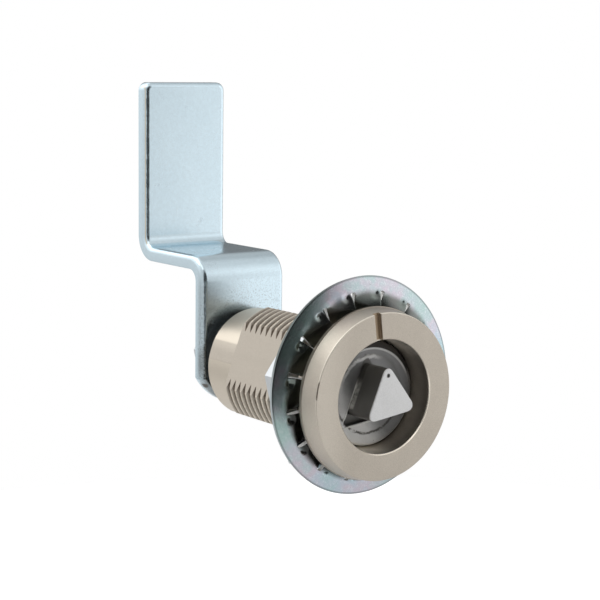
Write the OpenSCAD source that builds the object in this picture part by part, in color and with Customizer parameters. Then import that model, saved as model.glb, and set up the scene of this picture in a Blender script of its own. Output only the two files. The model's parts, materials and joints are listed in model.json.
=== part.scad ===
// Quarter-turn cabinet lock with a triangular key post and a Z-bent cam.
// The lock's axis is Y: the head faces -Y, the cam is at the +Y end and points up (+Z).
// The origin is on the axis, in the plane of the head's rear face, where the door sheet seats.

/* [Head] */
// Diameter of the head at its rear edge
head_d = 28; // [26.5:0.5:34]
// Diameter of the head at its front face
head_front_d = 26.9; // [25:0.1:26.9]
// Depth of the head from its front face to its seat
head_t = 3.75; // [3.5:0.25:6]
// Diameter of the key recess at the front face
recess_d = 18.3; // [18:0.1:19]
// Width of the index groove in the head's face
index_w = 1.25; // [0.8:0.05:2]
// Turn of the index groove and the key post from straight up, towards the left
index_turn = 7.5; // [-20:0.5:20]

/* [Threaded body] */
// Outside diameter of the body's thread
thread_d = 22; // [21.8:0.1:23]
// Pitch of the thread
thread_pitch = 1.5; // [1.25:0.25:2]
// Depth of the thread's grooves
thread_depth = 0.8; // [0.5:0.05:0.9]
// Distance between opposite flats of the body
body_flats = 18.7; // [18.6:0.1:20]
// Turn of the flats from square with the cam, clockwise from the front
flats_turn = 19.8; // [-45:0.1:45]
// Length of the body behind the head
body_l = 33; // [32:0.5:40]
// Length of the plain round part at the body's rear end
plain_l = 7.2; // [6.5:0.1:10]
// Diameter of the plain part
plain_d = 18.96; // [18.8:0.02:20]

/* [Key post] */
// Height of the triangular post from a side to the opposite corner
key_height = 7.7; // [7:0.1:9]
// Radius of the post's corners
key_corner_r = 1.15; // [0.8:0.05:1.5]
// How far the post stands out of the head's face
key_proud = 1.4; // [0:0.1:3]

/* [Drive core] */
// Diameter of the core's disc in the recess
disc_d = 16.8; // [15.5:0.1:16.9]
// Thickness of the disc
disc_t = 2.4; // [2:0.1:3]
// Diameter of the shank that turns in the body
shank_d = 11; // [10:0.5:11.5]
// Width of the square that drives the cam
drive_square = 8; // [7:0.5:8]

/* [Cam] */
// Width of the cam
cam_w = 17.2; // [15:0.1:20]
// Thickness of the cam's steel
cam_t = 2.5; // [1.5:0.25:3]
// Height of the tab's end above the lock's axis
cam_reach = 48; // [40:0.5:60]
// Height of the top of the bend above the axis
cam_shelf = 18.5; // [16:0.5:24]
// Distance from the base's front to the tab's front
cam_offset = 19.4; // [10:0.2:30]
// Inside radius of the cam's bends
cam_bend_r = 2; // [1:0.25:3]
// Radius of the round end below the axis
cam_end_r = 9.9; // [9:0.1:12]
// Radius of the tab's corners
cam_corner_r = 1.5; // [0.5:0.25:4]
// Distance from the body's rear end to the cam
cam_gap = 2.95; // [2:0.05:5]

/* [Washer and nut] */
// Outside diameter of the toothed washer
washer_d = 35.5; // [33:0.5:40]
// Inside diameter between the washer's teeth
washer_bore = 24; // [24:0.1:25]
// How far the loose washer sits above the lock's axis
washer_up = 0.87; // [0:0.01:0.87]
// How far the loose washer sits to the right of the axis, seen from the front
washer_right = 0.2; // [0:0.01:0.2]
// Thickness of the washer's steel
washer_t = 0.8; // [0.6:0.1:1.2]
// Number of teeth of the washer
washer_teeth = 16; // [12:1:20]
// Width across the flats of the mounting nut
nut_flats = 27; // [26:1:30]
// Thickness of the mounting nut
nut_t = 4; // [3:0.5:6]
// Width across the flats of the cam bolt's head
bolt_flats = 10; // [9:0.5:11]

/* [Hidden] */

// Smoothness of round shapes, and of the small ones
ROUND = 96;
SMALL = 48;
// How far a cut runs past the face it opens, and how far joined shapes run into each other
PAST = 1;
JOIN = 0.1;
// A hair's breadth, which keeps two faces from falling exactly together
HAIR = 0.01;

running_gap = 0.05;
seat_gap = 0.05;
free_gap = 0.35;

head_r = head_d / 2;
head_front_r = head_front_d / 2;
head_edge = 0.35;
head_lip = 0.5;
recess_r = recess_d / 2;
recess_floor = 2.95;
disc_gap = 0.3;
recess_floor_r = disc_d / 2 + disc_gap;
index_depth = 0.6;

crest_r = thread_d / 2;
groove_root_half = 0.08;
thread_flank_angle = 30;
groove_half = groove_root_half + thread_depth * tan(thread_flank_angle);
thread_end = body_l - plain_l;
thread_runout = 1.1;
thread_start = 1.4;
last_groove = thread_end - thread_runout;
groove_count = floor((last_groove - thread_start) / thread_pitch) + 1;
thread_bevel = 0.5;
plain_r = plain_d / 2;
rim_bevel = 0.25;

bore_r = shank_d / 2 + running_gap;
pocket_r = 8.3;
pocket_depth = 5.5;
pocket_floor = body_l - pocket_depth;
rib_r = 7.4;
rib_root = 0.3;
rib_depth = 2.1;
rib_start = body_l - rib_depth;
rib_l = 1.8;
quarter_turn = 90;
lug_angle = 40;
end_play_angle = 2;
rib_span = 360 - quarter_turn - lug_angle - 2 * end_play_angle;

disc_r = disc_d / 2;
disc_bevel = 0.3;
face_boss_r = 6.3;
face_boss_y = 0.25;
face_valley_r = 6.6;
face_valley_y = 0.5;
shank_r = shank_d / 2;
slip_t = 0.5;
seal_groove_y = 6;
seal_groove_w = 2;
seal_groove_r = 4.45;
seal_section_r = (bore_r - seal_groove_r) / 2 - running_gap;
seal_ring_r = (bore_r + seal_groove_r) / 2;
square_corner_cut = 0.38;
square_corner_r = drive_square / sqrt(2) - square_corner_cut;
square_hole = drive_square + 2 * running_gap;

key_inner_r = (key_height + key_corner_r) / 3;
key_front = -head_t - key_proud;
dimple_r = 0.38;
dimple_depth = 0.3;
dimple_reach = 3.75;

spring_t = 0.35;
spring_y = pocket_floor + seat_gap;
spring_h = 0.8;
spring_r = 7.5;
ring_play = 0.1;
support_y = spring_y + spring_h;
support_t = 0.85;
ring_r = 7.1;
clip_y = support_y + support_t;
clip_t = 1;
clip_play = 0.02;
clip_groove_depth = 0.3;
clip_groove_r = shank_r - clip_groove_depth;
clip_r = 6.7;
clip_opening = 50;
clip_ear_r = 0.95;
clip_ear_at = 6.1;
clip_ear_hole_r = 0.45;
clip_ear_turn = clip_opening / 2 + 9;

shoulder_depth = 2;
collar_y = body_l - shoulder_depth;
collar_flange_t = 1.7;
collar_r = rib_r - free_gap;
lug_r = pocket_r - free_gap;
hub_r = 6.5;
cam_y = body_l + cam_gap;

bolt_r = 3;
bolt_head_t = 4;
bolt_bevel = 0.4;
bolt_turn = 10.6;
lock_washer_t = 1.6;
lock_washer_r = 5.9;
lock_washer_slot = 1;
bolt_seat = cam_y + cam_t + lock_washer_t;
bolt_l = 14;
tapped_hole_l = 16;
square_short = 0.45;
square_end = cam_y + cam_t - square_short;

washer_y = 2.3;
washer_ring_r = 14.7;
washer_form_r = 15.9;
washer_slot = 1.1;
washer_phase = 1.35;
tooth_rise = 2.05;
tooth_drop = 0.9;
tooth_evenness = 0.4;
nut_gap = 0.3;
nut_y = washer_y + washer_t + tooth_drop + nut_gap;
nut_play = 0.1;
nut_bore_r = crest_r + nut_play;
nut_bevel = 0.6;
nut_turn = 11.7;

bend_out_r = cam_bend_r + cam_t;
tab_y = cam_y + cam_offset;
cam_end_centre = 2;

// Puts a shape drawn about the z axis on the lock's axis, starting at y
module along(y = 0) {
  translate([0, y, 0]) rotate([-90, 0, 0]) children();
}

// A plain ring on the lock's axis
module ring(outer, inner, y, length, facets = ROUND) {
  along(y) difference() {
    cylinder(r = outer, h = length, $fn = facets);
    translate([0, 0, -PAST]) cylinder(r = inner, h = length + 2 * PAST, $fn = facets);
  }
}

// A hexagon head with turned-down corners, a corner to the left before the turn
module hex_block(flats, y, length, turn, bevel) {
  corner = flats / 2 / cos(30);
  along(y) intersection() {
    rotate(turn) cylinder(r = corner, h = length, $fn = 6);
    rotate_extrude($fn = ROUND) polygon([
      [0, 0], [flats / 2, 0], [corner + HAIR, bevel],
      [corner + HAIR, length - bevel], [flats / 2, length], [0, length]]);
  }
}

// A sector of angle a, counted from the +x axis, big enough to cut a ring of radius r
module sector(a, r) {
  steps = ceil(a / 60);
  polygon(concat([[0, 0]], [for (i = [0 : steps]) 2 * r * [cos(a * i / steps), sin(a * i / steps)]]));
}

// Section of the body: thread grooves, then the plain rear part
module body_section() {
  polygon(concat(
    [[0, -PAST], [crest_r, -PAST]],
    [for (i = [groove_count - 1 : -1 : 0], p = [[crest_r, -groove_half],
        [crest_r - thread_depth, -groove_root_half],
        [crest_r - thread_depth, groove_root_half], [crest_r, groove_half]])
      [p[0], p[1] + last_groove - i * thread_pitch]],
    [[crest_r, thread_end - thread_bevel], [crest_r - thread_bevel, thread_end],
     [plain_r, thread_end], [plain_r, body_l - rim_bevel],
     [plain_r - rim_bevel, body_l], [0, body_l]]));
}

module head_section() {
  polygon([[0, -head_t], [head_front_r - head_edge, -head_t],
    [head_front_r, -head_t + head_edge], [head_r, -head_lip], [head_r, 0], [0, 0]]);
}

// The room inside the housing: key recess, shank bore and rear pocket
module housing_room() {
  rotate_extrude($fn = ROUND) polygon([
    [0, -head_t - PAST], [recess_r, -head_t - PAST], [recess_r, -head_t],
    [recess_floor_r, recess_floor], [0, recess_floor]]);
  cylinder(r = bore_r, h = body_l, $fn = ROUND);
  translate([0, 0, pocket_floor]) cylinder(r = pocket_r, h = body_l, $fn = ROUND);
}

// Rib in the rear pocket that stops the collar's lug at both ends of the quarter turn
module stop_rib() {
  translate([0, 0, rib_start]) rotate(quarter_turn + lug_angle / 2 + end_play_angle)
    linear_extrude(rib_l) intersection() {
      difference() {
        circle(r = pocket_r + rib_root, $fn = ROUND);
        circle(r = rib_r, $fn = ROUND);
      }
      sector(rib_span, pocket_r);
    }
}

module housing() {
  color("#b9af9f") along() {
    difference() {
      union() {
        rotate_extrude($fn = ROUND) head_section();
        intersection() {
          rotate_extrude($fn = ROUND) body_section();
          rotate(flats_turn) translate([-body_flats / 2, -body_flats / 2, -PAST])
            cube([body_flats, body_flats, body_l + 2 * PAST]);
        }
      }
      housing_room();
      rotate(-90 - index_turn)
        translate([recess_r - PAST, -index_w / 2, -head_t - PAST])
          cube([head_r, index_w, index_depth + PAST]);
    }
    stop_rib();
  }
}

// Triangle with rounded corners, a corner towards -y
module key_outline() {
  corner_reach = 2 * (key_inner_r - key_corner_r);
  corners = [for (a = [-90, 30, 150]) corner_reach * [cos(a), sin(a)]];
  polygon(corners);
  for (i = [0 : 2]) {
    translate(corners[i]) circle(r = key_corner_r, $fn = SMALL);
    side = corners[(i + 1) % 3] - corners[i];
    translate(corners[i]) rotate(atan2(side[1], side[0]))
      translate([0, -key_corner_r]) square([norm(side), key_corner_r + JOIN]);
  }
}

module core_section() {
  polygon([[0, face_boss_y], [face_boss_r, face_boss_y], [face_valley_r, face_valley_y],
    [disc_r - disc_bevel, 0], [disc_r, disc_bevel], [disc_r, disc_t], [shank_r, disc_t],
    [shank_r, seal_groove_y], [seal_groove_r, seal_groove_y],
    [seal_groove_r, seal_groove_y + seal_groove_w], [shank_r, seal_groove_y + seal_groove_w],
    [shank_r, clip_y - clip_play], [clip_groove_r, clip_y - clip_play],
    [clip_groove_r, clip_y + clip_t + clip_play], [shank_r, clip_y + clip_t + clip_play],
    [shank_r, collar_y], [0, collar_y]]);
}

module drive_core() {
  color("#9c9c9a") along() difference() {
    union() {
      rotate_extrude($fn = ROUND) core_section();
      translate([0, 0, key_front]) rotate(-index_turn)
        linear_extrude(face_boss_y - key_front + JOIN) key_outline();
      intersection() {
        translate([0, 0, collar_y - JOIN])
          cylinder(r = square_corner_r, h = square_end - collar_y + JOIN, $fn = ROUND);
        translate([-drive_square / 2, -drive_square / 2, 0]) cube([drive_square, drive_square, square_end]);
      }
    }
    translate([0, 0, square_end - tapped_hole_l]) cylinder(r = bolt_r + running_gap, h = body_l, $fn = SMALL);
    rotate(-90 - index_turn) translate([dimple_reach, 0, key_front - PAST])
      cylinder(r = dimple_r, h = dimple_depth + PAST, $fn = SMALL);
  }
}

module core_seal() {
  color("#222222") along(seal_groove_y + seal_groove_w / 2) rotate_extrude($fn = ROUND)
    translate([seal_ring_r, 0]) circle(r = seal_section_r, $fn = SMALL);
}

module thrust_washer() {
  color("#e6e2d6") ring(recess_floor_r - free_gap, shank_r + free_gap, recess_floor - slip_t, slip_t);
}

module disc_spring() {
  color("#6f7276") along(spring_y) rotate_extrude($fn = ROUND) polygon([
    [spring_r, 0], [spring_r, spring_t], [shank_r + ring_play, spring_h], [shank_r + ring_play, spring_h - spring_t]]);
}

module support_washer() {
  color("#b9bcc0") ring(ring_r, shank_r + ring_play, support_y, support_t);
}

module retaining_clip() {
  color("#3a3c40") along(clip_y) linear_extrude(clip_t) difference() {
    union() {
      difference() {
        circle(r = clip_r, $fn = ROUND);
        rotate(-90 - clip_opening / 2) sector(clip_opening, clip_r);
      }
      for (side = [-1, 1])
        rotate(-90 + side * clip_ear_turn) translate([clip_ear_at, 0]) circle(r = clip_ear_r, $fn = SMALL);
    }
    circle(r = clip_groove_r + HAIR, $fn = ROUND);
    for (side = [-1, 1])
      rotate(-90 + side * clip_ear_turn) translate([clip_ear_at, 0]) circle(r = clip_ear_hole_r, $fn = SMALL);
  }
}

// Collar on the core's square: a flange with the stop lug, and a hub up to the cam
module stop_collar() {
  color("#8f9296") along(collar_y) difference() {
    union() {
      linear_extrude(collar_flange_t) {
        circle(r = collar_r, $fn = ROUND);
        intersection() {
          circle(r = lug_r, $fn = ROUND);
          rotate(-lug_angle / 2) sector(lug_angle, lug_r);
        }
      }
      cylinder(r = hub_r, h = cam_y - collar_y, $fn = ROUND);
    }
    translate([-square_hole / 2, -square_hole / 2, -PAST]) cube([square_hole, square_hole, body_l]);
  }
}

// Washer teeth: across runs from -1 at a tooth's left edge to 1 at its right edge, seen from the front
ACROSS = 6;
RING_ROWS = [washer_d / 2, washer_form_r, washer_ring_r];
TOOTH_ROWS = [for (i = [1 : 4]) washer_ring_r + (washer_bore / 2 - washer_ring_r) * i / 4];
ROWS = concat(RING_ROWS, TOOTH_ROWS);
COLS = washer_teeth * (ACROSS + 1);
function across(col) = 2 * (col % (ACROSS + 1)) / ACROSS - 1;
function slot_half(r) = asin(washer_slot / 2 / min(r, washer_ring_r));
function col_angle(r, col) = washer_phase + 360 / washer_teeth * floor(col / (ACROSS + 1))
  + across(col) * (180 / washer_teeth - slot_half(r));
function formed(r) = max(0, (washer_form_r - r) / (washer_form_r - washer_bore / 2));
function curl(u) = tooth_evenness * u + (1 - tooth_evenness) * pow(u, 3);
function lift(r, col) = formed(r) * ((tooth_rise - tooth_drop) / 2 + (tooth_rise + tooth_drop) / 2 * curl(across(col)));
function washer_point(r, col, back) = [washer_right + r * sin(col_angle(r, col)),
  washer_y - lift(r, col) + back * washer_t, washer_up + r * cos(col_angle(r, col))];
function at(row, col, back) = (back * len(ROWS) + row) * COLS + col % COLS;
function quad(a, b, c, d) = [[a, b, c], [a, c, d]];
function in_slot(col) = col % (ACROSS + 1) == ACROSS;

module toothed_washer() {
  points = [for (back = [0, 1], r = ROWS, col = [0 : COLS - 1]) washer_point(r, col, back)];
  last = len(ROWS) - 1;
  ring_last = len(RING_ROWS) - 1;
  faces = [for (row = [0 : last - 1], col = [0 : COLS - 1]) if (row < ring_last || !in_slot(col))
    each concat(
      quad(at(row, col, 0), at(row, col + 1, 0), at(row + 1, col + 1, 0), at(row + 1, col, 0)),
      quad(at(row, col + 1, 1), at(row, col, 1), at(row + 1, col, 1), at(row + 1, col + 1, 1)))];
  rim = [for (col = [0 : COLS - 1])
    each quad(at(0, col, 1), at(0, col + 1, 1), at(0, col + 1, 0), at(0, col, 0))];
  tips = [for (col = [0 : COLS - 1]) let (row = in_slot(col) ? ring_last : last)
    each quad(at(row, col, 0), at(row, col + 1, 0), at(row, col + 1, 1), at(row, col, 1))];
  right_sides = [for (row = [ring_last : last - 1], col = [0 : COLS - 1]) if (in_slot(col))
    each quad(at(row, col, 0), at(row, col, 1), at(row + 1, col, 1), at(row + 1, col, 0))];
  left_sides = [for (row = [ring_last : last - 1], col = [0 : COLS - 1]) if (in_slot(col))
    each quad(at(row, col + 1, 1), at(row, col + 1, 0), at(row + 1, col + 1, 0), at(row + 1, col + 1, 1))];
  color("#8fa3b0") polyhedron(points, concat(faces, rim, tips, right_sides, left_sides));
}

module mounting_nut() {
  color("#c9d2da") difference() {
    hex_block(nut_flats, nut_y, nut_t, nut_turn, nut_bevel);
    along(nut_y - PAST) cylinder(r = nut_bore_r, h = nut_t + 2 * PAST, $fn = ROUND);
  }
}

// A quarter of a bend across the cam's width, about an axis along X at (y, z);
// side_y and side_z say which quarter
module cam_bend(y, z, side_y, side_z) {
  translate([-cam_w / 2, y, z]) rotate([0, 90, 0]) rotate([0, 0, 90]) intersection() {
    difference() {
      cylinder(r = bend_out_r, h = cam_w, $fn = ROUND);
      translate([0, 0, -PAST]) cylinder(r = cam_bend_r, h = cam_w + 2 * PAST, $fn = ROUND);
    }
    translate([side_y > 0 ? 0 : -bend_out_r, side_z > 0 ? 0 : -bend_out_r, 0])
      cube([bend_out_r, bend_out_r, cam_w]);
  }
}

// The cam's base: straight sides, a large arc below the axis and the square hole
module cam_base() {
  top = cam_shelf - bend_out_r;
  translate([0, cam_y + cam_t, 0]) rotate([90, 0, 0]) linear_extrude(cam_t) difference() {
    union() {
      translate([-cam_w / 2, cam_end_centre]) square([cam_w, top - cam_end_centre]);
      intersection() {
        translate([0, cam_end_centre]) circle(r = cam_end_r, $fn = ROUND);
        translate([-cam_w / 2, -cam_end_r]) square([cam_w, cam_end_r + cam_end_centre]);
      }
    }
    square(square_hole, center = true);
  }
}

module cam_tab() {
  bottom = cam_shelf - cam_t + bend_out_r;
  translate([0, tab_y + cam_t, 0]) rotate([90, 0, 0]) linear_extrude(cam_t) {
    translate([-cam_w / 2, bottom]) square([cam_w, cam_reach - cam_corner_r - bottom]);
    translate([-cam_w / 2 + cam_corner_r, bottom]) square([cam_w - 2 * cam_corner_r, cam_reach - bottom]);
    for (side = [-1, 1])
      translate([side * (cam_w / 2 - cam_corner_r), cam_reach - cam_corner_r])
        circle(r = cam_corner_r, $fn = SMALL);
  }
}

module cam() {
  color("#c6d0d8") {
    cam_base();
    cam_bend(cam_y + bend_out_r, cam_shelf - bend_out_r, -1, 1);
    translate([-cam_w / 2, cam_y + bend_out_r, cam_shelf - cam_t])
      cube([cam_w, tab_y + cam_t - cam_y - 2 * bend_out_r, cam_t]);
    cam_bend(tab_y + cam_t - bend_out_r, cam_shelf - cam_t + bend_out_r, 1, -1);
    cam_tab();
  }
}

module lock_washer() {
  color("#4a4d52") along(cam_y + cam_t) difference() {
    cylinder(r = lock_washer_r, h = lock_washer_t, $fn = ROUND);
    translate([0, 0, -PAST]) cylinder(r = bolt_r + ring_play, h = lock_washer_t + 2 * PAST, $fn = SMALL);
    translate([0, -lock_washer_slot / 2, -PAST]) cube([lock_washer_r + PAST, lock_washer_slot, lock_washer_t + 2 * PAST]);
  }
}

module cam_bolt() {
  color("#c3c8cc") {
    hex_block(bolt_flats, bolt_seat, bolt_head_t, bolt_turn, bolt_bevel);
    along(bolt_seat - bolt_l) cylinder(r = bolt_r, h = bolt_l + JOIN, $fn = SMALL);
  }
}

housing();
drive_core();
core_seal();
thrust_washer();
disc_spring();
support_washer();
retaining_clip();
stop_collar();
toothed_washer();
mounting_nut();
cam();
lock_washer();
cam_bolt();
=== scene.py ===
# %% [markdown]
# A cabinet lock that a triangular socket key turns by a quarter turn. Its head and threaded
# body are one zinc casting in satin nickel. Inside turns a bare zinc core with the key post,
# and a toothed washer and a nut clamp the door sheet. A pale blue zinc-plated steel cam, bent
# like a Z, does the latching. The measured model comes first and places all the rest. It is
# in metres, with the lock's axis along Y, the head towards -Y and the cam pointing up.

# %% Load the measured model
import json
import math

import bmesh
import bpy
from bmesh.types import BMEdge, BMVert
from mathutils import Matrix, Vector

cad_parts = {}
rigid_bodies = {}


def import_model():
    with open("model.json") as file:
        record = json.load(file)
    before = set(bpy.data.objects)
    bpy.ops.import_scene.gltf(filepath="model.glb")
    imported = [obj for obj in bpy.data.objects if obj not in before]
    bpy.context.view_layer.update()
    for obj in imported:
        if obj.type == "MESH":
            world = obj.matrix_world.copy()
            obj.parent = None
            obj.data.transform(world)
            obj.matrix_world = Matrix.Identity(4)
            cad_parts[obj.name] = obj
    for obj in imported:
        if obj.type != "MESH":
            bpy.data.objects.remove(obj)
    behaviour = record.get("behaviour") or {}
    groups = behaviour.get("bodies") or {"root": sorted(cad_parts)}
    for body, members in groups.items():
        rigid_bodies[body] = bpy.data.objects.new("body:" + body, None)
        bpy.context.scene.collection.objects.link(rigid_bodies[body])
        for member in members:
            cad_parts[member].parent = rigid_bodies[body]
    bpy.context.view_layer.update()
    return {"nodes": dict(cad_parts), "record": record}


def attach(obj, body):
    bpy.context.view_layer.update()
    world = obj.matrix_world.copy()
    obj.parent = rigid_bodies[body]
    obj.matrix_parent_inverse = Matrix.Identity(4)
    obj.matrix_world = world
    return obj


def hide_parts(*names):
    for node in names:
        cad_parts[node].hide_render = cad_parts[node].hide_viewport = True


MM = 0.001
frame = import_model()
print("nodes:", ", ".join(sorted(frame["nodes"])))

# %% [markdown]
# Shader maths reads best as plain Python. A Wire stands for one output of a node, and each
# operator on it adds the Math node that does the sum. A Paint is the node tree of a material
# or of the world. Its node method makes every other node, from settings, which are set first,
# and the values or wires of its sockets. A colour is three numbers.

# %% Wires and paints
class Wire:
    """One output of a node, which plain arithmetic can use."""

    def __init__(self, paint, socket):
        self.paint = paint
        self.socket = socket

    def math(self, operation, first, second):
        return self.paint.node("ShaderNodeMath", {"operation": operation}, {0: first, 1: second})

    def __add__(self, other):
        return self.math("ADD", self, other)

    def __sub__(self, other):
        return self.math("SUBTRACT", self, other)

    def __rsub__(self, other):
        return self.math("SUBTRACT", other, self)

    def __mul__(self, other):
        return self.math("MULTIPLY", self, other)

    def __pow__(self, other):
        return self.math("POWER", self, other)

    def __abs__(self):
        return self.math("ABSOLUTE", self, 0.0)

    __radd__ = __add__
    __rmul__ = __mul__


class Paint:
    """The node tree of a material or a world, with short names for common nodes."""

    def __init__(self, owner):
        owner.use_nodes = True
        self.owner = owner
        self.tree = owner.node_tree

    def node(self, kind, settings=None, sockets=None, output=0):
        made = self.tree.nodes.new(kind)
        for name, value in (settings or {}).items():
            if name == "stops":
                self.set_stops(made.color_ramp.elements, value)
            else:
                setattr(made, name, value)
        for key, value in (sockets or {}).items():
            self.connect(value, made.inputs[key])
        return Wire(self, made.outputs[output])

    def connect(self, value, socket):
        if isinstance(value, Wire):
            self.tree.links.new(value.socket, socket)
        else:
            socket.default_value = (*value, 1.0) if socket.type == "RGBA" else value

    def set_stops(self, elements, stops):
        while len(elements) < len(stops):
            elements.new(1.0)
        for element, (place, colour) in zip(elements, stops):
            element.position = place
            element.color = (*colour, 1.0)

    def feed(self, name, **sockets):
        """Feeds a node that is already there. An underscore stands for a space."""
        for socket, value in sockets.items():
            self.connect(value, self.tree.nodes[name].inputs[socket.replace("_", " ")])

    def mix(self, factor, colour_a, colour_b):
        """The first colour at factor 0, the second at 1."""
        sockets = {0: factor, 6: colour_a, 7: colour_b}
        return self.node("ShaderNodeMix", {"data_type": "RGBA"}, sockets, 2)

    def ramp(self, factor, stops):
        """Picks a colour by the factor, from stops of a place and a colour each."""
        return self.node("ShaderNodeValToRGB", {"stops": stops}, {"Fac": factor})

    def dot(self, vector, direction):
        """How far a point or a direction reaches along another."""
        settings = {"operation": "DOT_PRODUCT"}
        return self.node("ShaderNodeVectorMath", settings, {0: vector, 1: direction}, "Value")


def ease(value, low, high, to_low=0.0, to_high=1.0):
    """Runs smoothly from to_low to to_high while value goes from low to high."""
    return value.paint.node(
        "ShaderNodeMapRange",
        {"interpolation_type": "SMOOTHSTEP"},
        {"Value": value, "From Min": low, "From Max": high, "To Min": to_low, "To Max": to_high},
    )


def near(value, middle, core, edge):
    """1 where value lies within core of the middle, 0 beyond edge."""
    return ease(abs(value - middle), edge, core)


def larger(first, second):
    return first.math("MAXIMUM", first, second)


WHITE = (1.0, 1.0, 1.0)
BLACK = (0.0, 0.0, 0.0)
print("wires and paints ready")

# %% [markdown]
# The camera stands where the photograph was taken from: in front, a little above the lock and
# to its left, with a long lens.

# %% Camera
CAMERA_PLACE = Vector((-161.21, -201.98, 52.53)) * MM
CAMERA_TURN = math.radians(-36.077)
CAMERA_DIP = math.radians(8.307)
CAMERA_ROLL = math.radians(0.749)
CAMERA_LENS = 99.12
CAMERA_NEAR = 10 * MM


def show(name, data):
    """Puts a camera, a lamp or a mesh in the scene."""
    thing = bpy.data.objects.new(name, data)
    bpy.context.scene.collection.objects.link(thing)
    return thing


def add_camera():
    ahead = Vector((
        -math.sin(CAMERA_TURN) * math.cos(CAMERA_DIP),
        math.cos(CAMERA_TURN) * math.cos(CAMERA_DIP),
        -math.sin(CAMERA_DIP),
    ))
    right = Vector((math.cos(CAMERA_TURN), math.sin(CAMERA_TURN), 0))
    right.rotate(Matrix.Rotation(-CAMERA_ROLL, 3, ahead))
    turned = Matrix((right, right.cross(ahead), -ahead)).transposed()
    data = bpy.data.cameras.new("camera")
    data.lens = CAMERA_LENS
    data.clip_start = CAMERA_NEAR
    camera = show("camera", data)
    camera.matrix_world = Matrix.Translation(CAMERA_PLACE) @ turned.to_4x4()
    bpy.context.scene.camera = camera
    return ahead


print("camera looks along", [round(part, 3) for part in add_camera()])

# %% [markdown]
# Plated metal shows what stands around it, so the room does most of the work. It is a white
# studio with soft round patches on its walls. The camera's side is dark, which draws the dark
# lines on rounded edges, and the cam's upward faces show a grey screen at the back right.
# Patches render faster than lamps, and each can be moved alone.

# %% Studio
ROOM_LEVEL = 0.72
PATCHES = [
    # direction, half angle of its edge and of its core in degrees, light level in its core
    ((-0.30, 0.70, 0.65), 60, 28, 1.12),  # wide and bright, high up at the back left
    ((0.78, -0.60, -0.10), 58, 24, 1.16),  # wide and bright, at the front right
    ((-0.15, -0.96, 0.12), 46, 27, 0.03),  # darkness in front, on the camera's side
    ((0.58, 0.80, 0.05), 36, 16, 0.17),  # the grey screen at the back right
    ((-0.30, 0.80, 0.50), 18, 8, 1.05),  # a brighter spot in the bright wall
    ((-0.60, 0.78, -0.20), 26, 12, 0.58),  # a duller wall low at the back left
    ((0.62, 0.42, 0.66), 30, 10, 0.48),  # a duller ceiling on the right
    ((-0.36, -0.45, 0.82), 22, 8, 1.4),  # the brightest spot, over the camera
]


def light_room():
    """The camera sees plain white, and the metal sees the patches. Each has a soft edge."""
    world = bpy.data.worlds.new("studio room")
    room = Paint(world)
    way = room.node("ShaderNodeTexCoord", output="Generated")
    level = ROOM_LEVEL
    for direction, edge, core, wanted in PATCHES:
        towards = room.dot(way, Vector(direction).normalized())
        limits = [math.cos(math.radians(angle)) for angle in (edge, core)]
        level = ease(towards, *limits, 1.0, wanted / ROOM_LEVEL) * level
    seen = room.node("ShaderNodeLightPath", output="Is Camera Ray")
    room.feed("Background", Color=WHITE, Strength=level * (1.0 - seen) + seen)
    bpy.context.scene.world = world


def add_softbox(name, place, aim, side, watts):
    data = bpy.data.lights.new(name, "AREA")
    data.size = side
    data.energy = watts
    lamp = show(name, data)
    lamp.location = place
    lamp.rotation_euler = (Vector(aim) - Vector(place)).to_track_quat("-Z", "Y").to_euler()


light_room()
add_softbox("overhead softbox", (-0.22, 0.16, 0.42), (0, 0.02, 0.01), 0.30, 0.4)
bpy.context.scene.view_settings.view_transform = "Standard"
print("room with", len(PATCHES), "patches, and one softbox")

# %% [markdown]
# The floor lies well below the lock, which hangs in its door when in use. It is as white as
# the room: a faint glow that only the camera sees adds what the paint lacks.

# %% Floor
FLOOR_DROP = 70.0
FLOOR_RADIUS = 220.0
FLOOR_GLOW = (0.36, 0.36, 0.36)
FLOOR_WHITE = (0.85, 0.85, 0.85)


def hand_over(made, name):
    """Turns a bmesh into a mesh and frees it."""
    mesh = bpy.data.meshes.new(name)
    made.to_mesh(mesh)
    made.free()
    return mesh


def add_floor():
    made = bmesh.new()
    bmesh.ops.create_circle(made, cap_ends=True, segments=64, radius=FLOOR_RADIUS * MM)
    bmesh.ops.translate(made, vec=(0, 0, -FLOOR_DROP * MM), verts=made.verts)
    floor = show("studio_floor", hand_over(made, "studio_floor"))
    paint = Paint(bpy.data.materials.new("white floor paint"))
    seen = paint.node("ShaderNodeLightPath", output="Is Camera Ray")
    glow = paint.mix(seen, BLACK, FLOOR_GLOW)
    paint.feed("Principled BSDF", Base_Color=FLOOR_WHITE, Roughness=0.9, Emission_Color=glow,
               Emission_Strength=1.0)
    floor.data.materials.append(paint.owner)


add_floor()
print("floor", FLOOR_DROP, "mm below the lock's axis")

# %% [markdown]
# New pieces are drawn in millimetres and turned, cut and rounded as a workshop would do it.
# These helpers move a mesh, mend its seams and round its edges.

# %% Workshop helpers
AXIS = Vector((0, 1, 0))
CENTRE = Vector((0, 0, 0))
QUARTER_TURN = math.pi / 2


def only(kind, parts):
    """The vertices or edges among the parts that an operator hands back."""
    return [part for part in parts if isinstance(part, kind)]


def everything(made):
    return made.verts[:] + made.edges[:] + made.faces[:]


def way_out(angle):
    """The way out from the axis at an angle anticlockwise from up, seen from the front."""
    return Vector((-math.sin(angle), 0, math.cos(angle)))


def rotate(made, angle, axis=AXIS, verts=None):
    """Rotates a mesh, or some of its points, about an axis through the centre."""
    turned = Matrix.Rotation(angle, 3, axis)
    bmesh.ops.rotate(made, cent=CENTRE, matrix=turned, verts=verts or made.verts)


def shift(made, way, verts=None):
    bmesh.ops.translate(made, vec=way, verts=verts or made.verts)


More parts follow.
